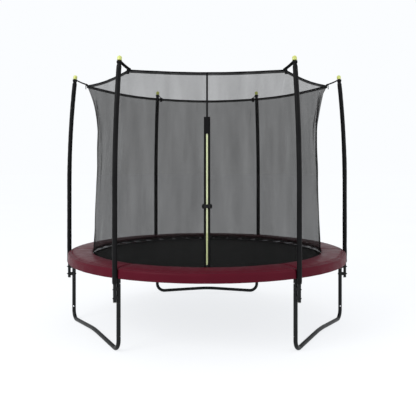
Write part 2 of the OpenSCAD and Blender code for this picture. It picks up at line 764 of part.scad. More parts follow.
module buckle_socket() {
    wall = 2;
    color(black) at_door() translate([0, 0, buckle_h]) {
        difference() {
            translate([-socket_l, -buckle_back - buckle_t, -buckle_w / 2])
                cube([socket_l + 7, buckle_t, buckle_w]);
            translate([-socket_l + 9, -buckle_back - buckle_t + wall, -buckle_w / 2 + 3])
                cube([socket_l, buckle_t - 2 * wall, buckle_w - 6]);
            translate([-socket_l + 13, -buckle_back - buckle_t + wall, -buckle_w / 2 - cut])
                cube([socket_window, buckle_t - 2 * wall, buckle_w + 2 * cut]);
            translate([-socket_l + 2, -buckle_back - buckle_t - cut, -buckle_hole])
                cube([3, buckle_t + 2 * cut, 2 * buckle_hole]);
        }
        translate([-socket_l, 0, 0]) buckle_tab();
    }
}

module buckle_plug() {
    prong_y = -buckle_back - buckle_t + 2.5;
    color(black) at_door() translate([0, 0, buckle_h]) {
        difference() {
            translate([plug_gap, -buckle_back - buckle_t, -buckle_w / 2])
                cube([plug_grip, buckle_t, buckle_w]);
            translate([plug_gap + plug_grip - 5, -buckle_back - buckle_t - cut, -buckle_hole])
                cube([3, buckle_t + 2 * cut, 2 * buckle_hole]);
        }
        translate([-20, prong_y, -2.5]) cube([21 + plug_gap, prong_t, 5]);
        for (side = [0, 1]) mirror([0, 0, side]) {
            translate([-22, prong_y, 8]) cube([23 + plug_gap, prong_t, 4]);
            translate([-18, prong_y, 11]) cube([7, prong_t, 3.6]);
        }
        translate([plug_gap + plug_grip, 0, 0]) mirror([1, 0, 0]) buckle_tab();
    }
}

frame_rail(0);  // frame_rail_1
frame_rail(1);  // frame_rail_2
frame_rail(2);  // frame_rail_3
frame_rail(3);  // frame_rail_4
frame_rail(4);  // frame_rail_5
frame_rail(5);  // frame_rail_6
upright(0);  // upright_1
upright(1);  // upright_2
upright(2);  // upright_3
upright(3);  // upright_4
upright(4);  // upright_5
upright(5);  // upright_6
leg_base(LEG_ANGLES[0]);  // leg_base_rear
leg_base(LEG_ANGLES[1]);  // leg_base_left
leg_base(LEG_ANGLES[2]);  // leg_base_right
leg_bolts();
pole_lower(0);  // pole_lower_1
pole_lower(1);  // pole_lower_2
pole_lower(2);  // pole_lower_3
pole_lower(3);  // pole_lower_4
pole_lower(4);  // pole_lower_5
pole_lower(5);  // pole_lower_6
poles_upper();
pole_plugs();
pole_spacers();
pole_bolts();
pole_nuts();
pole_sleeves();
pole_caps();
springs();
v_rings();
mat_webbing();
mat_border();
mat_centre();
pad_cover(0);  // pad_cover_1
pad_cover(1);  // pad_cover_2
pad_cover(2);  // pad_cover_3
pad_cover(3);  // pad_cover_4
pad_cover(4);  // pad_cover_5
pad_cover(5);  // pad_cover_6
pad_foam();
pad_ties();
net_panel(0);  // net_panel_1
net_panel(1);  // net_panel_2
net_panel(2);  // net_panel_3
net_panel(4);  // net_panel_4
net_panel(5);  // net_panel_5
net_door(-1);  // net_door_left
net_door(1);  // net_door_right
net_door_head();
net_top_cord();
corner_straps();
door_webbing();
zip_flap();
zip_tapes();
zip_teeth();
zip_slider();
zip_pull();
buckle_socket();
buckle_plug();
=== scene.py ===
import math

import bmesh
import bpy
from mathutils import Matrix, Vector, noise


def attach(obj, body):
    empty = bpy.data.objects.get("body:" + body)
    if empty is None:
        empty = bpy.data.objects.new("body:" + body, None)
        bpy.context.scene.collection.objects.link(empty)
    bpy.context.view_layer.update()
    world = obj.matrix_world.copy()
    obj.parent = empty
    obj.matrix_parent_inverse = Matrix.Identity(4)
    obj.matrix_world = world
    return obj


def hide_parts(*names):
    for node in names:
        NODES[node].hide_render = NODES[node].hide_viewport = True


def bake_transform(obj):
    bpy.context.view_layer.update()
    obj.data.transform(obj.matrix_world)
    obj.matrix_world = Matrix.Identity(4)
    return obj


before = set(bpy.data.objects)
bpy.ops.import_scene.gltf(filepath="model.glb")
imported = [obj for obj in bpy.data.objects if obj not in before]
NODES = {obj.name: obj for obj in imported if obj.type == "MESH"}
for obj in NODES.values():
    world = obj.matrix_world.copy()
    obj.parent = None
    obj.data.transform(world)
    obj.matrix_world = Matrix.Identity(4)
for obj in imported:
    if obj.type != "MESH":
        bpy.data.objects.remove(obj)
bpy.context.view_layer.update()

# ---- The part's own dimensions, in metres ----

POLES = [63, 117, 183, 237, 303, 357]
CORNERS = POLES + [POLES[0] + 360]
RING_R, RING_H = 1.200, 0.585
POLE_R, POLE_BEND_H, POLE_BEND_R, POLE_TOP_H = 1.242, 1.200, 9.0, 2.162
SLEEVE_FOOT, SLEEVE_RAD, POLE_RAD = 0.515, 0.019, 0.0125
NET_FOOT_H, NET_FOOT_R = 0.590, 1.017
NET_TOP_H, NET_CORNER_R, NET_SAG, NET_WAIST = 2.098, 1.085, 0.020, 0.075
MAT_R, MAT_TOP, MAT_BOTTOM = 1.015, 0.5862, 0.5838
MAT_T = MAT_TOP - MAT_BOTTOM
SPRINGS = 48
DOOR_EDGE = 0.0242
TAPE_IN, TAPE_OUT = 0.0061, 0.0241
CHAIN_IN, CHAIN_OUT = 0.0034, 0.0059
BEND_ANGLE = math.asin((POLE_TOP_H - POLE_BEND_H) / POLE_BEND_R)


def polar(r, deg, z):
    a = math.radians(deg)
    return Vector((r * math.cos(a), r * math.sin(a), z))


def smooth(a, b, x):
    t = min(max((x - a) / (b - a), 0), 1)
    return t * t * (3 - 2 * t)


# ---- Mesh building ----

class Build:
    """Collects grids and sweeps into one mesh, with a UV map in metres."""

    def __init__(self):
        self.v, self.f, self.uv = [], [], []

    def face(self, ids, uv=None):
        self.f.append(ids)
        self.uv += uv or [(0, 0)] * len(ids)

    def grid(self, point, nu, nv, size, wrap_u=False, wrap_v=False, flip=False):
        cu, cv = (nu if wrap_u else nu + 1), (nv if wrap_v else nv + 1)
        base = len(self.v)
        self.v += [point(i / nu, j / nv) for j in range(cv) for i in range(cu)]
        for j in range(nv):
            for i in range(nu):
                ids = [base + (j + b) % cv * cu + (i + a) % cu for a, b in ((0, 0), (1, 0), (1, 1), (0, 1))]
                corners = ((0, 0), (1, 0), (1, 1), (0, 1))
                uv = [((i + a) / nu * size[0], (j + b) / nv * size[1]) for a, b in corners]
                self.face(ids[::-1] if flip else ids, uv[::-1] if flip else uv)
        return base, cu, cv

    def sweep(self, path, section, closed=False, up=None, caps=True):
        """section(share along) gives the cross-section's points; up is a fixed side direction."""
        n = len(path)
        path = [Vector(p) for p in path]
        tangents = []
        for k in range(n):
            a = path[(k - 1) % n] if closed or k else path[0]
            b = path[(k + 1) % n] if closed or k < n - 1 else path[-1]
            tangents.append((b - a).normalized())
        side = Vector(up) if up else tangents[0].orthogonal()
        lengths = [0]
        for k in range(1, n + 1):
            lengths.append(lengths[-1] + (path[k % n] - path[k - 1]).length)
        rings = []
        for k in range(n):
            t = tangents[k]
            side = (Vector(up) if up else side)
            side = (side - t * side.dot(t)).normalized()
            other = t.cross(side)
            sec = section(k / max(n - 1, 1))
            rings.append(len(self.v))
            self.v += [path[k] + side * x + other * y for x, y in sec]
        m = len(sec)
        around = [0]
        for s in range(m):
            a, b = Vector(sec[s]), Vector(sec[(s + 1) % m])
            around.append(around[-1] + (b - a).length)
        for k in range(n if closed else n - 1):
            a, b = rings[k], rings[(k + 1) % n]
            for s in range(m):
                s1 = (s + 1) % m
                self.face([a + s, a + s1, b + s1, b + s],
                          [(around[s], lengths[k]), (around[s + 1], lengths[k]),
                           (around[s + 1], lengths[k + 1]), (around[s], lengths[k + 1])])
        if caps and not closed:
            self.face([rings[0] + s for s in range(m)][::-1])
            self.face([rings[-1] + s for s in range(m)])

    def prism(self, outline, place, low, high, bevel):
        """An outline in a plane, given thickness from low to high, with bevelled edges."""
        cx = sum(p[0] for p in outline) / len(outline)
        cy = sum(p[1] for p in outline) / len(outline)
        far = max(math.hypot(p[0] - cx, p[1] - cy) for p in outline)
        s = 1 - bevel / far
        rings = [(low, s), (low + bevel, 1), (high - bevel, 1), (high, s)]
        starts = []
        for d, k in rings:
            starts.append(len(self.v))
            self.v += [place(cx + (p[0] - cx) * k, cy + (p[1] - cy) * k, d) for p in outline]
        m = len(outline)
        for a, b in zip(starts, starts[1:]):
            for i in range(m):
                self.face([a + i, a + (i + 1) % m, b + (i + 1) % m, b + i])
        self.face([starts[0] + i for i in range(m)][::-1])
        self.face([starts[-1] + i for i in range(m)])

    def object(self, name, material, slot, body="frame", merge=0.0, shade=True):
        mesh = bpy.data.meshes.new(name)
        mesh.from_pydata([tuple(p) for p in self.v], [], self.f)
        layer = mesh.uv_layers.new(name="metres")
        layer.data.foreach_set("uv", [c for p in self.uv for c in p])
        bm = bmesh.new()
        bm.from_mesh(mesh)
        if merge:
            bmesh.ops.remove_doubles(bm, verts=bm.verts, dist=merge)
        bmesh.ops.recalc_face_normals(bm, faces=bm.faces)
        bm.to_mesh(mesh)
        bm.free()
        mesh.materials.append(material)
        mesh.polygons.foreach_set("use_smooth", [shade] * len(mesh.polygons))
        obj = bpy.data.objects.new(name, mesh)
        bpy.context.scene.collection.objects.link(obj)
        if body:
            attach(obj, body)
        return obj


def circle(r, n, ry=None):
    return [(r * math.cos(2 * math.pi * k / n), (ry or r) * math.sin(2 * math.pi * k / n)) for k in range(n)]


def band(w, t, n=3):
    """Cross-section of a webbing strap: a flat bar with rounded edges."""
    out = []
    for side in (1, -1):
        for k in range(n + 1):
            a = math.radians(-90 + 180 * k / n)
            out.append((side * (w / 2 - t / 2 + t / 2 * math.cos(a)), side * t / 2 * math.sin(a)))
    return out


def curve(points, steps):
    """A smooth line through the points (Catmull-Rom)."""
    p = [Vector(q) for q in points]
    p = [2 * p[0] - p[1]] + p + [2 * p[-1] - p[-2]]
    out = []
    for k in range(1, len(p) - 2):
        for s in range(steps):
            t = s / steps
            a, b, c, d = p[k - 1], p[k], p[k + 1], p[k + 2]
            out.append(0.5 * ((2 * b) + (c - a) * t + (2 * a - 5 * b + 4 * c - d) * t * t
                              + (3 * b - a - 3 * c + d) * t ** 3))
    out.append(p[-2])
    return out


# ---- Materials ----

class Mat:
    """A Principled material with its node tree at hand."""

    def __init__(self, name, color, rough, **inputs):
        self.m = bpy.data.materials.new(name)
        self.m.use_nodes = True
        self.t = self.m.node_tree
        self.n, self.l = self.t.nodes, self.t.links
        self.b = self.n["Principled BSDF"]
        self.b.inputs["Base Color"].default_value = (*color, 1)
        self.b.inputs["Roughness"].default_value = rough
        for k, v in inputs.items():
            self.b.inputs[k.replace("_", " ")].default_value = v
        self.m.diffuse_color = (*color, 1)
        self.height = None

    def coord(self, kind="Object", scale=(1, 1, 1)):
        c = self.n.new("ShaderNodeTexCoord")
        m = self.n.new("ShaderNodeMapping")
        m.inputs["Scale"].default_value = scale
        self.l.new(c.outputs[kind], m.inputs["Vector"])
        return m.outputs["Vector"]

    def noise(self, scale, detail=3, coord=None, stretch=(1, 1, 1), rough=0.5):
        t = self.n.new("ShaderNodeTexNoise")
        t.inputs["Scale"].default_value = scale
        t.inputs["Detail"].default_value = detail
        t.inputs["Roughness"].default_value = rough
        self.l.new(coord or self.coord("Object", stretch), t.inputs["Vector"])
        return t.outputs["Fac"]

    def wave(self, scale, axis="X", kind="UV", distort=0.0, profile="SIN"):
        t = self.n.new("ShaderNodeTexWave")
        t.bands_direction = axis
        t.wave_profile = profile
        t.inputs["Scale"].default_value = scale
        t.inputs["Distortion"].default_value = distort
        self.l.new(self.coord(kind), t.inputs["Vector"])
        return t.outputs["Fac"]

    def math(self, op, a, b):
        t = self.n.new("ShaderNodeMath")
        t.operation = op
        for k, x in enumerate((a, b)):
            if isinstance(x, (int, float)):
                t.inputs[k].default_value = x
            else:
                self.l.new(x, t.inputs[k])
        return t.outputs[0]

    def ramp(self, fac, stops, to=None):
        r = self.n.new("ShaderNodeValToRGB")
        e = r.color_ramp.elements
        while len(e) < len(stops):
            e.new(0.5)
        for k, (at, c) in enumerate(stops):
            e[k].position = at
            e[k].color = (*c, 1) if isinstance(c, tuple) else (c, c, c, 1)
        self.l.new(fac, r.inputs["Fac"])
        if to:
            self.l.new(r.outputs["Color"], self.b.inputs[to])
        return r.outputs["Color"]

    def bump(self, height, distance, strength=1.0):
        b = self.n.new("ShaderNodeBump")
        b.inputs["Distance"].default_value = distance
        b.inputs["Strength"].default_value = strength
        self.l.new(height, b.inputs["Height"])
        if self.height:
            self.l.new(self.height, b.inputs["Normal"])
        self.height = b.outputs["Normal"]
        self.l.new(self.height, self.b.inputs["Normal"])
        return self


def painted(name, color, rough=0.36, level=0.4):
    m = Mat(name, color, rough, Specular_IOR_Level=level)
    low = tuple(c * 0.8 for c in color)
    high = tuple(c * 1.5 for c in color)
    m.ramp(m.noise(9), [(0.35, low), (0.7, high)], "Base Color")
    m.ramp(m.noise(24, 5), [(0.3, rough - 0.06), (0.75, rough + 0.1)], "Roughness")
    return m.bump(m.noise(520, 2), 0.00025, 0.5)


def cloth(name, color, rough, pitch, level=0.25, sheen=0.1, spread=0.25, weave=0.0004):
    """Woven cloth: warp and weft ribs at the real pitch, from the UV map in metres."""
    m = Mat(name, color, rough, Specular_IOR_Level=level, Sheen_Weight=sheen, Sheen_Roughness=0.5)
    low = tuple(c * (1 - spread) for c in color)
    high = tuple(c * (1 + spread) for c in color)
    m.ramp(m.noise(7, 4), [(0.3, low), (0.7, high)], "Base Color")
    rate = 1 / pitch / 6.283 * 3.1416
    ribs = m.math("MULTIPLY", m.wave(rate, "X"), m.wave(rate, "Y"))
    m.bump(ribs, weave, 0.8)
    return m


def metal(name, color, rough):
    m = Mat(name, color, rough, Metallic=1.0)
    low = tuple(c * 0.72 for c in color)
    m.ramp(m.noise(60, 4), [(0.3, low), (0.65, color)], "Base Color")
    m.ramp(m.noise(150, 3), [(0.3, rough - 0.08), (0.7, rough + 0.12)], "Roughness")
    return m.bump(m.noise(900, 2), 0.0001, 0.4)


def plastic(name, color, rough, coat=0.0, level=0.5, grain=0.00012, sub=0.0):
    m = Mat(name, color, rough, Coat_Weight=coat, Coat_Roughness=0.12, Specular_IOR_Level=level)
    if sub:
        m.b.inputs["Subsurface Weight"].default_value = sub
        m.b.inputs["Subsurface Scale"].default_value = 0.004
    low = tuple(c * 0.88 for c in color)
    high = tuple(min(c * 1.08, 1) for c in color)
    m.ramp(m.noise(26, 3), [(0.3, low), (0.7, high)], "Base Color")
    return m.bump(m.noise(1300, 2), grain, 0.5)


tube_paint = painted("powder_coat_black", (0.0055, 0.0062, 0.0065), 0.38, 0.16)
bolt_black = painted("black_plated", (0.008, 0.008, 0.0085), 0.4, 0.15)
zinc = metal("zinc_plate", (0.72, 0.73, 0.75), 0.32)
spring_wire = metal("spring_wire", (0.55, 0.56, 0.58), 0.36)
plug_grey = plastic("end_plug_grey", (0.52, 0.52, 0.50), 0.5)
moulded = plastic("moulded_black", (0.007, 0.007, 0.007), 0.5, level=0.15, grain=0.0003)
acetal = plastic("buckle_black", (0.006, 0.006, 0.0065), 0.36, level=0.18, grain=0.00008)
lime_gloss = plastic("lime_cap", (0.47, 0.51, 0.145), 0.3, coat=0.15, level=0.3, sub=0.05)
lime_tooth = plastic("zip_teeth_lime", (0.70, 0.77, 0.42), 0.34, coat=0.1)
enamel = painted("zip_enamel", (0.008, 0.008, 0.0085), 0.3, 0.2)
webbing = cloth("webbing_black", (0.0055, 0.0055, 0.006), 0.66, 0.0016, level=0.08, sheen=0.0, weave=0.0006)
zip_tape = cloth("zip_tape_black", (0.005, 0.005, 0.0055), 0.7, 0.0010, level=0.06, sheen=0.0)
lime_tape = cloth("zip_tape_lime", (0.50, 0.55, 0.22), 0.6, 0.0010, spread=0.1)
mat_cloth = cloth("mat_weave", (0.0062, 0.0068, 0.0064), 0.6, 0.0022, level=0.06, sheen=0.0, weave=0.0005)
cord_cloth = cloth("cord_braid", (0.0045, 0.0045, 0.005), 0.66, 0.0014, level=0.06, sheen=0.0)


def vinyl():
    m = Mat("pad_vinyl", (0.069, 0.0040, 0.0112), 0.42, Specular_IOR_Level=0.06)
    m.ramp(m.noise(3.2, 4), [(0.3, (0.062, 0.0035, 0.0100)), (0.72, (0.076, 0.0046, 0.0126))], "Base Color")
    m.ramp(m.noise(11, 4), [(0.3, 0.36), (0.75, 0.50)], "Roughness")
    m.bump(m.noise(13, 3, stretch=(1, 1, 2)), 0.004, 0.35)
    ribs = m.math("MULTIPLY", m.wave(1 / 0.0011 / 2, "X"), m.wave(1 / 0.0011 / 2, "Y"))
    m.bump(ribs, 0.00018, 0.5)
    return m


def sleeve_vinyl():
    m = Mat("sleeve_cloth", (0.0055, 0.0055, 0.006), 0.46, Specular_IOR_Level=0.07)
    m.ramp(m.noise(6, 4), [(0.3, (0.0042, 0.0042, 0.0046)), (0.7, (0.0072, 0.0072, 0.0077))], "Base Color")
    m.bump(m.noise(34, 3, stretch=(1, 1, 0.5)), 0.0022, 0.5)
    ribs = m.math("MULTIPLY", m.wave(1 / 0.0012 / 2, "X"), m.wave(1 / 0.0012 / 2, "Y"))
    m.bump(ribs, 0.0002, 0.5)
    return m


def net_mesh(name, cover, color=0.006):
    """Fine knitted mesh: threads and holes at their real pitch, with the cover they add up to."""
    m = Mat(name, (color, color, color * 1.04), 0.8, Specular_IOR_Level=0.03)
    threads = m.math("MAXIMUM", m.wave(1 / 0.0032 / 2, "X"), m.wave(1 / 0.0024 / 2, "Y"))
    tone = m.noise(4.5, 3)
    m.ramp(tone, [(0.3, (color * 0.8,) * 3), (0.7, (color * 1.3,) * 3)], "Base Color")
    open_share = m.ramp(threads, [(0.0, cover - 0.24), (0.55, cover), (1.0, cover + 0.10)])
    cloud = m.ramp(m.noise(9, 4, stretch=(1, 1, 0.16)), [(0.3, 0.93), (0.7, 1.08)])
    alpha = m.math("MULTIPLY", open_share, cloud)
    m.l.new(alpha, m.b.inputs["Alpha"])
    m.bump(threads, 0.0003, 0.4)
    return m


pad_vinyl = vinyl()
sleeve_cloth = sleeve_vinyl()
net_black = net_mesh("net_mesh", 0.575)
net_hem = net_mesh("net_hem", 0.90)


def dress(material, *names):
    for name in names:
        o = NODES[name]
        o.data.materials.clear()
        o.data.materials.append(material)
        for s in o.material_slots:
            s.material = material


six = range(1, 7)
dress(tube_paint.m, *[f"frame_rail_{i}" for i in six], *[f"upright_{i}" for i in six],
      *[f"pole_lower_{i}" for i in six], "leg_base_rear", "leg_base_left", "leg_base_right", "poles_upper")
dress(zinc.m, "leg_bolts")
dress(bolt_black.m, "pole_bolts", "pole_nuts")
dress(plug_grey.m, "pole_plugs")
dress(moulded.m, "pole_spacers")
dress(lime_gloss.m, "pole_caps")
dress(enamel.m, "zip_slider", "zip_pull")


def as_sheet(o):
    """Counts how many faces use each edge of the mesh; the count is not used further."""
    uses = {}
    for p in o.data.polygons:
        for e in p.edge_keys:
            uses[e] = uses.get(e, 0) + 1


# ---- Net ----

def net_mid_r(half, t):
    return NET_FOOT_R + (NET_CORNER_R * math.cos(half) - NET_FOOT_R) * t


def net_edge_r(t):
    return NET_FOOT_R - NET_WAIST * t + (NET_CORNER_R - NET_FOOT_R + NET_WAIST) * t ** 6


def net_r(half, off, t):
    share = (math.cos(half) / math.cos(off) - math.cos(half)) / (1 - math.cos(half))
    mid = net_mid_r(half, t)
    return mid + share * (net_edge_r(t) - mid)


def net_z(half, off, t):
    return NET_FOOT_H + t * (NET_TOP_H - NET_SAG * (1 - (off / half) ** 2) - NET_FOOT_H)


def folds(direction, z):
    """Outward and sideways shift of the net: gathers below each corner and at the foot, slack between."""
    near = min(abs((direction - c + 180) % 360 - 180) for c in POLES)
    t = (z - NET_FOOT_H) / (NET_TOP_H - NET_FOOT_H)
    body = smooth(0, 0.10, t) * smooth(1.0, 0.90, t)
    gather = math.exp(-(near / 15) ** 2) * body * (0.30 + 0.70 * smooth(0.15, 0.75, t))
    wob = 1.6 * noise.noise(Vector((direction * 0.21, 0.0, z * 1.3)))
    wake = 0.5 + noise.noise(Vector((direction * 0.35, 9.0, z * 1.9)))
    out = 0.0085 * gather * wake * math.sin(direction * 2.35 + 2.4 * wob)
    out += 0.0042 * gather * math.sin(direction * 5.3 - 1.9 * wob)
    foot = smooth(0.30, 0.03, t) * smooth(0.0, 0.02, t)
    out += 0.0030 * foot * math.sin(direction * 2.1 + 3 * noise.noise(Vector((direction * 0.16, 4.0, z * 2))))
    out += 0.0050 * body * noise.noise(Vector((direction * 0.05, 7.0, z * 5.5)))
    return out


def net_point(middle, half, off, t):
    r, z = net_r(half, off, t), net_z(half, off, t)
    direction = math.degrees(middle + off)
    zone = smooth(0.0, 2.5, abs(((direction - 270 + 180) % 360) - 180) - 1.6)
    return polar(r + folds(direction, z) * zone, direction, z)


def panel(name, node, middle, half, u0, u1, nu=64, nv=110):
    """One net panel. u0 and u1 give the directions of its sides at a share of the height."""
    b = Build()
    width = 2 * half * NET_FOOT_R
    b.grid(lambda u, v: net_point(middle, half, u0(v) + (u1(v) - u0(v)) * u, v), nu, nv, (width, 1.5))
    o = b.object(name, net_black.m, "net_mesh", body=None)
    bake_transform(o)
    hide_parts(node)
    as_sheet(o)
    return o


names = ["net_panel_1", "net_panel_2", "net_panel_3", None, "net_panel_4", "net_panel_5"]
for i in range(6):
    half = math.radians(CORNERS[i + 1] - CORNERS[i]) / 2
    middle = math.radians(CORNERS[i]) + half
    if names[i]:
        panel(names[i].replace("net_", "netting_"), names[i], middle, half, lambda v: -half, lambda v: half)
    else:
        cut = lambda v: math.asin(DOOR_EDGE / net_mid_r(half, v))
        panel("netting_door_left", "net_door_left", middle, half, lambda v: -half, lambda v: -cut(v), 36)
        panel("netting_door_right", "net_door_right", middle, half, lambda v: cut(v), lambda v: half, 36)

# Top cord inside its folded hem
cord_path = []
for i in range(6):
    half = math.radians(CORNERS[i + 1] - CORNERS[i]) / 2
    middle = math.radians(CORNERS[i]) + half
    for k in range(24):
        off = -half + 2 * half * k / 24
        p = polar(net_r(half, off, 1), math.degrees(middle + off), net_z(half, off, 1) + 0.004)
        cord_path.append(p)
b = Build()
b.sweep(cord_path, lambda s: circle(0.0052 + 0.0003 * math.sin(s * 700), 12), closed=True, up=(0, 0, 1))
net_cord = b.object("net_cord", cord_cloth.m, "elastic_cord")
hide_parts("net_top_cord")
b = Build()
hem = lambda u, v: cord_path[int(round(u * 144)) % 144] + Vector((0, 0, -0.020 + 0.016 * v)) \
    + polar(0.0012 + 0.0005 * math.sin(u * 900), math.degrees(math.atan2(
        cord_path[int(round(u * 144)) % 144].y, cord_path[int(round(u * 144)) % 144].x)), 0)
b.grid(hem, 144, 2, (6.5, 0.016), wrap_u=True)
o = b.object("net_hem_band", net_hem.m, "net_mesh")
as_sheet(o)

# ---- Door: everything in its own plane, Z up the zip and -Y out of the net ----

half_front = math.radians(33)
LEAN = math.atan((NET_FOOT_R - NET_CORNER_R * math.cos(half_front)) / (NET_TOP_H - NET_SAG - NET_FOOT_H))
DOOR_L = (NET_TOP_H - NET_SAG - NET_FOOT_H) / math.cos(LEAN)


def door(x, y, z):
    return Vector((x, -NET_FOOT_R + y * math.cos(LEAN) + z * math.sin(LEAN),
                   NET_FOOT_H - y * math.sin(LEAN) + z * math.cos(LEAN)))


ZIP_FOOT, ZIP_HEAD, FLAP_L = 0.058, 1.032, 0.128


def strip(b, x0, x1, y, t, z0, z1, nz, ripple=0.0, nx=4):
    """A strip of cloth up the door, with thickness t, that ripples a little along its length."""
    def wobble(z):
        return ripple * noise.noise(Vector((x0 * 40, 3.0, z * 9)))

    def at(u, v):
        z = z0 + (z1 - z0) * v
        ring = [(x0 + (x1 - x0) * k / nx, -1) for k in range(nx + 1)]
        ring += [(x1 - (x1 - x0) * k / nx, 1) for k in range(nx + 1)]
        k = int(round(u * len(ring))) % len(ring)
        x, side = ring[k]
        edge = 1 - 0.75 * (abs(2 * (x - x0) / (x1 - x0) - 1) ** 6)
        return door(x, y + wobble(z) + side * t / 2 * edge, z)
    n = 2 * (nx + 1)
    start, cu, cv = b.grid(at, n, nz, (2 * (x1 - x0), z1 - z0), wrap_u=True)
    b.face([start + i for i in range(cu)][::-1])
    b.face([start + (cv - 1) * cu + i for i in range(cu)])


def sewn(b, points, up, step=0.005, length=0.0034, rad=0.00035):
    """A row of raised stitches along a line."""
    for a, c in zip(points, points[1:]):
        d = (Vector(c) - Vector(a)).length
        n = max(1, int(d / step))
        for k in range(n):
            p = Vector(a).lerp(Vector(c), (k + 0.5) / n)
            t = (Vector(c) - Vector(a)).normalized() * length / 2
            lift = Vector(up) * rad
            thread = [p - t, p - t * 0.5 + lift, p + t * 0.5 + lift, p + t]
            b.sweep(thread, lambda s: circle(rad, 4), caps=False)


out = door(0, -1, 0) - door(0, 0, 0)
b = Build()
for side in (-1, 1):
    xs = sorted((side * TAPE_IN, side * TAPE_OUT))
    strip(b, xs[0], xs[1], 0, 0.0015, 0.003, ZIP_HEAD + FLAP_L - 0.002, 110, 0.0008)
tapes = b.object("zip_tape_pair", zip_tape.m, "zip_cloth", body=None)
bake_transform(tapes)
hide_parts("zip_tapes")

b = Build()
for side in (-1, 1):
    xs = sorted((side * CHAIN_IN, side * CHAIN_OUT))
    strip(b, xs[0], xs[1], 0, 0.0011, ZIP_FOOT, ZIP_HEAD + 0.019, 60)
zip_band = b.object("zip_chain_tape", lime_tape.m, "zip_teeth")
b = Build()
pitch = 0.0050
count = int((ZIP_HEAD + 0.018 - ZIP_FOOT) / pitch)
for side in (-1, 1):
    for k in range(count):
        z = ZIP_FOOT + 0.001 + pitch * (k + (0.5 if side > 0 else 0))
        outline = [(side * 0.0013, z + 0.0004), (side * 0.0013, z + 0.0028), (side * 0.0030, z + 0.0034),
                   (side * 0.0052, z + 0.0030), (side * 0.0052, z + 0.0002), (side * 0.0030, z - 0.0002)]
        b.prism(outline, lambda x, zz, d: door(x, d, zz), -0.00145, 0.00145, 0.0004)
chain = b.object("zip_chain", lime_tooth.m, "zip_teeth", shade=False)
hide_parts("zip_teeth")
as_sheet(tapes)

# Flap over the zip's top, sewn down on three sides
b = Build()
fw = 0.022


def flap(u, v):
    x, z = -fw + 2 * fw * u, ZIP_HEAD + FLAP_L * v
    e = min(u, 1 - u) * 2 * fw
    puff = smooth(0, 0.006, e) * smooth(0, 0.008, (1 - v) * FLAP_L)
    wave_ = 0.0008 * noise.noise(Vector((x * 60, z * 30, 1)))
    return door(x, -0.0014 - 0.0042 * puff + wave_, z)


b.grid(flap, 24, 44, (2 * fw, FLAP_L))
o = b.object("zip_flap_cloth", zip_tape.m, "zip_cloth")
solid = o.modifiers.new("thickness", "SOLIDIFY")
solid.thickness, solid.offset = 0.0012, 1
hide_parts("zip_flap")
as_sheet(o)

b = Build()
for x in (-fw + 0.0035, fw - 0.0035):
    sewn(b, [door(x, -0.0042, ZIP_HEAD + 0.004), door(x, -0.0042, ZIP_HEAD + FLAP_L - 0.006)], out)
top_row = ZIP_HEAD + FLAP_L - 0.005
sewn(b, [door(-fw + 0.004, -0.0042, top_row), door(fw - 0.004, -0.0042, top_row)], out)
for x in (-0.0236, -0.0100, 0.0100, 0.0236):
    sewn(b, [door(x, -0.0010, 0.07), door(x, -0.0010, ZIP_HEAD - 0.004)], out, step=0.006, rad=0.0003)
b.object("door_stitches", cord_cloth.m, "zip_cloth")

# Net head above the flap, and the webbing that runs up it
b = Build()
head_from, head_l = ZIP_HEAD + FLAP_L - 0.004, DOOR_L - ZIP_HEAD - FLAP_L + 0.002
b.grid(lambda u, v: door(TAPE_OUT * (2 * u - 1), 0.0002, head_from + head_l * v), 8, 24, (2 * TAPE_OUT, 0.33))
o = b.object("netting_door_head", net_black.m, "net_mesh")
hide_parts("net_door_head")
as_sheet(o)
b = Build()
strip(b, -0.007, 0.007, -0.0019, 0.0016, ZIP_HEAD + FLAP_L - 0.003, DOOR_L - 0.001, 60, 0.0006)
o = b.object("door_strap", webbing.m, "black_webbing")
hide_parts("door_webbing")
as_sheet(o)

# ---- Buckle across the zip ----

BH = 0.490
face_y, back_y = -0.013, -0.004


def place(x, z, d):
    return door(x, d, BH + z)


def mirrored(points):
    return points + [(x, -z) for x, z in reversed(points)]


b = Build()
b.prism(mirrored([(-0.0335, 0.0175), (-0.0250, 0.0182), (-0.0130, 0.0150),
                  (-0.0020, 0.0140), (0.0068, 0.0148)]),
        place, face_y, back_y, 0.0018)
b.prism(mirrored([(-0.0300, 0.0095), (-0.0060, 0.0088), (0.0030, 0.0050)]), place,
        face_y - 0.0008, face_y + 0.003, 0.0010)
for k in range(4):
    x = -0.029 + 0.0042 * k
    b.prism([(x, -0.0138), (x + 0.0016, -0.0138), (x + 0.0016, 0.0138), (x, 0.0138)], place,
            face_y - 0.0010, face_y + 0.002, 0.0004)
o = b.object("buckle_female", acetal.m, "buckle_plastic", shade=False)
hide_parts("buckle_socket")

b = Build()
b.prism(mirrored([(0.0078, 0.0148), (0.0160, 0.0150), (0.0250, 0.0170), (0.0344, 0.0178)]), place,
        face_y, back_y, 0.0018)
for k in range(3):
    x = 0.0215 + 0.0042 * k
    b.prism([(x, -0.0135), (x + 0.0016, -0.0135), (x + 0.0016, 0.0135), (x, 0.0135)], place,
            face_y - 0.0010, face_y + 0.002, 0.0004)
b.prism([(-0.0200, -0.0025), (0.0090, -0.0025), (0.0090, 0.0025), (-0.0200, 0.0025)], place,
        face_y + 0.0025, face_y + 0.0065, 0.0004)
for s in (-1, 1):
    b.prism([(-0.0220, s * 0.0080), (0.0090, s * 0.0080), (0.0090, s * 0.0120), (-0.0110, s * 0.0120),
             (-0.0118, s * 0.0144), (-0.0165, s * 0.0140), (-0.0220, s * 0.0100)],
            place, face_y + 0.0025, face_y + 0.0065, 0.0004)
o = b.object("buckle_male", acetal.m, "buckle_plastic", body="plug", shade=False)
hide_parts("buckle_plug")


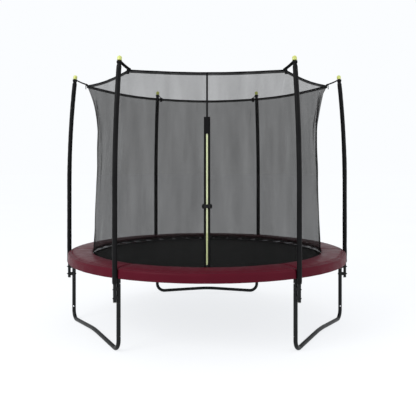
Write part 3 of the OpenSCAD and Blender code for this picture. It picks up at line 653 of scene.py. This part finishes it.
def buckle_tab(name, body, sign):
    """Webbing tab: through the buckle's slot and sewn flat to the zip's border."""
    x = sign * 0.0315
    path = [place(x - sign * 0.012, 0, -0.0022), place(x, 0, -0.0022), place(x + sign * 0.0045, 0, -0.0032),
            place(x + sign * 0.0062, 0, -0.0070), place(x + sign * 0.0058, 0, -0.0115),
            place(x + sign * 0.0030, 0, -0.0142), place(x - sign * 0.0040, 0, -0.0148),
            place(x - sign * 0.0080, 0, -0.0146)]
    b = Build()
    b.sweep(curve(path, 6), lambda s: band(0.022, 0.0015), up=door(0, 0, 1) - door(0, 0, 0))
    t = b.object(name, webbing.m, "black_webbing", body=body)
    as_sheet(t)


buckle_tab("buckle_tab_fixed", "frame", -1)
buckle_tab("buckle_tab_free", "plug", 1)

# ---- Pole sleeves ----

def pole_point(i, h):
    """Centreline of a pole, and its lean, at a height."""
    if h <= POLE_BEND_H:
        return polar(POLE_R, POLES[i], h)
    a = math.asin(min((h - POLE_BEND_H) / POLE_BEND_R, 1))
    return polar(POLE_R - POLE_BEND_R * (1 - math.cos(a)), POLES[i], h)


SLEEVE_TOP = POLE_TOP_H - 0.0035
for i in range(6):
    b = Build()
    steps = 190
    heights = [SLEEVE_FOOT + (SLEEVE_TOP - SLEEVE_FOOT) * k / steps for k in range(steps + 1)]
    seed = 11.3 * i

    def sleeve_section(s, seed=seed):
        h = SLEEVE_FOOT + (SLEEVE_TOP - SLEEVE_FOOT) * s
        top, foot = SLEEVE_TOP - h, h - SLEEVE_FOOT
        neck = smooth(0.045, 0.028, top)
        base = SLEEVE_RAD * (1 - 0.23 * neck) - 0.0012 * smooth(0.012, 0.0, foot)
        base += 0.0007 * noise.noise(Vector((seed, 0, h * 5)))
        pts = []
        for k in range(28):
            a = 2 * math.pi * k / 28
            flute = (0.9 * neck + smooth(0.075, 0.04, top) * 0.5) * 0.0010 * math.sin(7 * a + seed)
            wrinkle = 0.0009 * noise.noise(Vector((math.cos(a) * 1.5 + seed, math.sin(a) * 1.5, h * 26)))
            seam = 0.0011 * math.exp(-((a - math.pi) / 0.10) ** 2)
            r = base + flute + wrinkle + seam
            pts.append((r * math.cos(a), r * math.sin(a)))
        return pts

    outer = Build()
    path = [pole_point(i, h) for h in heights]
    direction = polar(1, POLES[i], 0)
    b.sweep(path, sleeve_section, up=direction, caps=False)
    m = 28
    inner_path = [pole_point(i, h) for h in (heights[0], POLE_BEND_H)] + \
                 [pole_point(i, POLE_BEND_H + (SLEEVE_TOP - POLE_BEND_H) * k / 16) for k in range(1, 17)]
    start = len(b.v)
    b.sweep(inner_path, lambda s: circle(POLE_RAD + 0.0005, m), up=direction, caps=False)
    last_outer, last_inner = steps * m, start + (len(inner_path) - 1) * m
    for k in range(m):
        k1 = (k + 1) % m
        b.face([k, k1, start + k1, start + k])
        b.face([last_outer + k, last_outer + k1, last_inner + k1, last_inner + k])
    o = b.object(f"sleeve_{i + 1}", sleeve_cloth.m, "sleeve_foam")
    if i == 0:
        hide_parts("pole_sleeves")

# ---- Straps from the poles to the net's corners ----

for i in range(6):
    d, lean = POLES[i], BEND_ANGLE
    side = polar(1, d + 90, 0)
    b = Build()
    ring = []
    centre = pole_point(i, POLE_TOP_H - 0.014)
    for k in range(40):
        a = 2 * math.pi * k / 40
        r = 0.0190
        ring.append(centre + polar(r * math.cos(a), d, 0) + side * r * math.sin(a)
                    + Vector((0, 0, 0.0006 * math.sin(3 * a))))
    b.sweep(ring, lambda s: band(0.017, 0.0016), closed=True, up=(0, 0, 1))
    corner = polar(NET_CORNER_R, d, NET_TOP_H + 0.004)
    inner = centre - polar(0.0185, d, 0)
    low = corner + Vector((0, 0, 0.0095))
    roll = math.radians(20) * (1 if centre.x < 0 else -1)
    tilt = side * math.cos(roll) + Vector((0, 0, math.sin(roll)))
    route = curve([inner + polar(0.004, d, 0.002), inner.lerp(low, 0.2) + Vector((0, 0, -0.0015)),
                   inner.lerp(low, 0.5) + Vector((0, 0, -0.0026)),
                   inner.lerp(low, 0.85) + Vector((0, 0, -0.001)),
                   low + polar(0.003, d, 0.0015), corner + polar(-0.0080, d, 0.0065),
                   corner + polar(-0.0105, d, -0.0010)], 6)
    b.sweep(route, lambda s: band(0.027, 0.0040), up=tilt)
    hang = curve([corner + polar(0.0040, d, 0.0128), corner + polar(0.0082, d, 0.0070),
                  corner + polar(0.0098, d, -0.0040), corner + polar(0.0092, d, -0.0180),
                  corner + polar(0.0100, d, -0.0310)], 5)
    b.sweep(hang, lambda s: band(0.026, 0.0036), up=side)
    o = b.object(f"corner_strap_{i + 1}", webbing.m, "black_webbing")
    as_sheet(o)
    if i == 0:
        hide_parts("corner_straps")

# ---- Pad ----

TOP_LINE = [
    (1.0240, 0.6090), (1.0214, 0.6128), (1.0210, 0.6200), (1.0224, 0.6278), (1.0275, 0.6326),
    (1.0370, 0.6350), (1.0560, 0.6368), (1.0800, 0.6378), (1.1060, 0.6380), (1.1320, 0.6373),
    (1.1560, 0.6358), (1.1760, 0.6338), (1.1920, 0.6312), (1.2010, 0.6288), (1.2050, 0.6266),
    (1.2062, 0.6254), (1.2076, 0.6266), (1.2110, 0.6278), (1.2160, 0.6268), (1.2192, 0.6248),
    (1.2204, 0.6234), (1.2218, 0.6242), (1.2260, 0.6234), (1.2306, 0.6196), (1.2332, 0.6140),
    (1.2344, 0.6060), (1.2350, 0.5960), (1.2354, 0.5840), (1.2358, 0.5740), (1.2361, 0.5672),
    (1.2352, 0.5656), (1.2366, 0.5640), (1.2368, 0.5590), (1.2364, 0.5552), (1.2350, 0.5536),
    (1.2334, 0.5546), (1.2326, 0.5600), (1.2322, 0.5750), (1.2316, 0.5900), (1.2300, 0.6010),
    (1.2250, 0.6070), (1.2150, 0.6084), (1.1800, 0.6080), (1.1400, 0.6078), (1.1000, 0.6078),
    (1.0600, 0.6080)]


def pad_point(r, z, direction, from_seam, arc):
    """Moves a point of the plain profile: puckers, slack, the pinch at seams and the pole's hollow."""
    top = smooth(0.612, 0.628, z) * smooth(1.235, 1.20, r)
    skirt = smooth(0.612, 0.56, z) * smooth(1.22, 1.232, r)
    a = direction * math.pi / 180
    z += top * 0.0024 * noise.noise(Vector((a * 5, r * 9, 2)))
    pucker = math.exp(-((r - 1.196) / 0.020) ** 2) + 0.6 * math.exp(-((r - 1.030) / 0.012) ** 2)
    drift = 5 * noise.noise(Vector((a * 11, 0, 5)))
    z += 0.0010 * pucker * math.sin(a * 95 + drift) * smooth(0.612, 0.625, z)
    r += skirt * (0.0020 * noise.noise(Vector((a * 9, 0, 8))) + 0.0008 * math.sin(a * 61))
    pinch = math.exp(-(from_seam / 0.0055) ** 2) + 0.35 * math.exp(-((from_seam - 0.012) / 0.0025) ** 2)
    if z > 0.6125 and r < 1.231:
        z -= (z - 0.6125) * 0.30 * pinch
    hollow = 0.0165 * math.exp(-(from_seam / 0.0215) ** 4)
    r -= hollow * smooth(1.196, 1.226, r)
    if z < 0.606 and r > 1.21:
        r = max(r, 1.2196)
    return r, z


for i in range(6):
    a0, a1 = CORNERS[i] + 0.02, CORNERS[i + 1] - 0.02
    arc = math.radians(a1 - a0) * 1.23
    b = Build()
    loop = [Vector((*p, 0)) for p in TOP_LINE]
    n = len(loop)

    def cover(u, v):
        r, z, _ = loop[int(round(v * n)) % n]
        w = u - 0.72 * math.sin(2 * math.pi * u) / (2 * math.pi)
        direction = a0 + (a1 - a0) * w
        r, z = pad_point(r, z, direction, min(w, 1 - w) * arc, arc)
        return polar(r, direction, z)

    nu = 132
    start, cu, cv = b.grid(cover, nu, n, (arc, 0.55), wrap_v=True)
    b.face([start + j * cu for j in range(cv)])
    b.face([start + j * cu + nu for j in range(cv)][::-1])
    o = b.object(f"pad_{i + 1}", pad_vinyl.m, "pad_vinyl")
    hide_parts(f"pad_cover_{i + 1}")
    if i == 0:
        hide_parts("pad_foam")

# Stitch rows round the pad's outer edge
b = Build()
for r, z in ((1.2062, 0.6259), (1.2204, 0.6240)):
    for k in range(0, 1440):
        a = k * 0.25
        near = min(abs((a - c + 180) % 360 - 180) for c in POLES)
        if near * math.radians(1) * r < 0.024:
            continue
        p, q = polar(r, a, z), polar(r, a + 0.17, z)
        b.sweep([p, p.lerp(q, 0.3) + Vector((0, 0, 0.0007)), p.lerp(q, 0.7) + Vector((0, 0, 0.0007)), q],
                lambda s: circle(0.00045, 4), caps=False)
thread = plastic("pad_thread", (0.075, 0.012, 0.024), 0.6)
b.object("pad_stitches", thread.m, "pad_vinyl")

# Elastic loops that hold the pad to the ring
b = Build()
for k in range(12):
    d = 45 + 30 * k
    c = polar(RING_R, d, RING_H)
    loop_path = []
    for s in range(32):
        a = 2 * math.pi * s / 32
        r = 0.0212 + 0.0012 * math.cos(2 * a)
        loop_path.append(c + polar(r * math.cos(a), d, 0) + Vector((0, 0, r * math.sin(a))))
    b.sweep(loop_path, lambda s: circle(0.0012, 8), closed=True)
    knot = c + polar(-0.0225, d, -0.004)
    b.grid(lambda u, v: knot + Vector((
        0.0036 * math.sin(math.pi * v) * math.cos(2 * math.pi * u),
        0.0036 * math.sin(math.pi * v) * math.sin(2 * math.pi * u),
        0.0042 * math.cos(math.pi * v))) * (1 + 0.12 * math.sin(5 * u * 6.283 + 7 * v)),
        14, 8, (0.02, 0.01), wrap_u=True)
o = b.object("pad_loops", cord_cloth.m, "elastic_cord", merge=1e-6)
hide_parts("pad_ties")

# ---- Mat: flat sectors, each a thin closed slab from its edge to the middle ----

SECTORS = 24
for k in range(SECTORS):
    a0, turn = 360 / SECTORS * k, 360 / SECTORS
    b = Build()
    rows = 26
    b.grid(lambda u, v: polar(MAT_R * v, a0 + turn * u, MAT_TOP), 6, rows, (0.266, MAT_R))
    b.grid(lambda u, v: polar(MAT_R * v, a0 + turn * u, MAT_BOTTOM), 6, rows, (0.266, MAT_R), flip=True)
    b.grid(lambda u, v: polar(MAT_R, a0 + turn * u, MAT_BOTTOM + MAT_T * v), 6, 1, (0.266, 0.002))
    for a in (a0, a0 + turn):
        b.grid(lambda u, v: polar(MAT_R * u, a, MAT_BOTTOM + MAT_T * v), rows, 1, (MAT_R, 0.002))
    o = b.object(f"mat_sector_{k + 1:02d}", mat_cloth.m, "mat_fabric", body=None, merge=1e-6)
    o.data.polygons.foreach_set("use_smooth", [False] * len(o.data.polygons))
    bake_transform(o)
    as_sheet(o)
    if k == 0:
        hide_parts("mat_border", "mat_centre")

b = Build()
outline = [(1.0032, 0.5816), (1.0036, 0.5808), (1.018, 0.5815), (1.0335, 0.5818), (1.0350, 0.5830),
           (1.0350, 0.5870), (1.0335, 0.5882), (1.018, 0.5885), (1.0036, 0.5888), (1.0032, 0.5880),
           (1.0034, 0.5866), (1.0034, 0.5834)]
b.grid(lambda u, v: polar(outline[int(round(v * 12)) % 12][0], 360 * u,
                          outline[int(round(v * 12)) % 12][1] + 0.0002 * math.sin(u * 1500)),
       288, 12, (6.4, 0.07), wrap_u=True, wrap_v=True)
edge = b.object("mat_edge_band", webbing.m, "black_webbing", body="mat_edge")
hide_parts("mat_webbing")
as_sheet(edge)

b = Build()
for r in (1.0075, 1.0135, 1.0245):
    for k in range(720):
        a = k * 0.5
        p, q = polar(r, a, 0.58865), polar(r, a + 0.33, 0.58865)
        b.sweep([p, p.lerp(q, 0.3) + Vector((0, 0, 0.0006)), p.lerp(q, 0.7) + Vector((0, 0, 0.0006)), q],
                lambda s: circle(0.0004, 4), caps=False)
b.object("mat_stitches", cord_cloth.m, "black_webbing", body="mat_edge")

# V-rings of bent wire, each in a folded tab of webbing
wire = 0.0018
v_b, tab_b = Build(), Build()
for k in range(SPRINGS):
    d = (k + 0.5) * 360 / SPRINGS + 30
    side = polar(1, d + 90, 0)

    def on(r, s, z=0.0, d=d, side=side):
        return polar(r, d, RING_H + z) + side * s

    corners = [(1.0312, -0.0150), (1.0312, 0.0150), (1.0602, 0.0)]
    radii = (0.0028, 0.0028, 0.0034)
    path = []
    for c, (corner, rad) in enumerate(zip(corners, radii)):
        p = Vector((*corner, 0))
        before = (Vector((*corners[c - 1], 0)) - p).normalized()
        after = (Vector((*corners[(c + 1) % 3], 0)) - p).normalized()
        a, z = p + before * rad * 1.8, p + after * rad * 1.8
        for s in range(7):
            t = s / 6
            q = a * (1 - t) ** 2 + p * 2 * t * (1 - t) + z * t * t
            path.append(on(q.x, q.y))
    v_b.sweep(path, lambda s: circle(wire, 8), closed=True, up=(0, 0, 1))
    fold = curve([on(1.0200, 0, 0.0040), on(1.0290, 0, 0.0042), on(1.0335, 0, 0.0032), on(1.0352, 0, 0),
                  on(1.0335, 0, -0.0032), on(1.0290, 0, -0.0042), on(1.0200, 0, -0.0040)], 4)
    tab_b.sweep(fold, lambda s: band(0.0235, 0.0011), up=side)
v_obj = v_b.object("v_ring_wires", spring_wire.m, "spring_steel", body="mat_edge")
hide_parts("v_rings")
tabs = tab_b.object("v_ring_tabs", webbing.m, "black_webbing", body="mat_edge")
as_sheet(tabs)

# ---- Springs ----

R_COIL = 0.0092
for k in range(SPRINGS):
    d = (k + 0.5) * 360 / SPRINGS + 30
    side = polar(1, d + 90, 0)

    def on(r, s, z, d=d, side=side):
        return polar(r, d, RING_H + z) + side * s

    turns, x0, x1 = 25, 1.0710, 1.1655
    path = curve([on(1.0565, 0, -0.0046), on(1.0505, 0, -0.0034), on(1.0488, 0, 0.0005),
                  on(1.0510, 0, 0.0046), on(1.0580, 0, 0.0060), on(1.0660, 0.0030, 0.0062)], 4)[:-1]
    for s in range(turns * 12 + 1):
        a = 2 * math.pi * s / 12 + math.pi / 3
        path.append(on(x0 + (x1 - x0) * s / (turns * 12), R_COIL * math.cos(a), R_COIL * math.sin(a)))
    path += curve([on(1.1690, 0.0020, 0.0050), on(1.1740, 0, 0.0012), on(1.1800, 0, 0), on(1.1885, 0, 0)], 3)
    b = Build()
    b.sweep(path, lambda s: circle(wire, 6))
    o = b.object(f"spring_{k + 1:02d}", spring_wire.m, "spring_steel", body=None)
    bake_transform(o)
    if k == 0:
        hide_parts("springs")

# ---- Floor, light and camera ----

floor_mat = Mat("studio_floor", (0.20, 0.20, 0.20), 0.9, Specular_IOR_Level=0.0,
                Emission_Color=(0.775, 0.79, 0.81, 1), Emission_Strength=1.0)
floor_mat.ramp(floor_mat.noise(0.6, 2), [(0.3, 0.195), (0.7, 0.205)], "Base Color")
mesh = bpy.data.meshes.new("floor")
mesh.from_pydata([(-60, -30, 0), (60, -30, 0), (60, 90, 0), (-60, 90, 0)], [], [(0, 1, 2, 3)])
mesh.materials.append(floor_mat.m)
floor = bpy.data.objects.new("floor", mesh)
bpy.context.scene.collection.objects.link(floor)

scene = bpy.context.scene
scene.view_settings.view_transform = "Standard"
world = bpy.data.worlds.new("studio")
world.use_nodes = True
world.node_tree.nodes["Background"].inputs["Color"].default_value = (0.965, 0.982, 1.0, 1)
world.node_tree.nodes["Background"].inputs["Strength"].default_value = 1.0
scene.world = world


def area(name, at, aim, size, power, color=(1, 1, 1)):
    data = bpy.data.lights.new(name, "AREA")
    data.shape, data.size, data.size_y = "RECTANGLE", size[0], size[1]
    data.energy, data.color = power, color
    o = bpy.data.objects.new(name, data)
    o.location = at
    o.rotation_euler = (Vector(aim) - Vector(at)).to_track_quat("-Z", "Y").to_euler()
    scene.collection.objects.link(o)


area("key", (-4.2, -4.6, 4.6), (0, 0, 0.8), (3.0, 3.0), 260)
area("fill", (5.0, -3.2, 3.0), (0, 0, 0.9), (2.5, 3.0), 60)

camera = bpy.data.cameras.new("camera")
camera.lens, camera.sensor_width = 50.2, 36
camera.shift_x, camera.shift_y = 0.0023, -0.100
cam = bpy.data.objects.new("camera", camera)
cam.location = (0, -5.29, 1.375)
cam.rotation_euler = (math.radians(90), 0, 0)
scene.collection.objects.link(cam)
scene.camera = cam
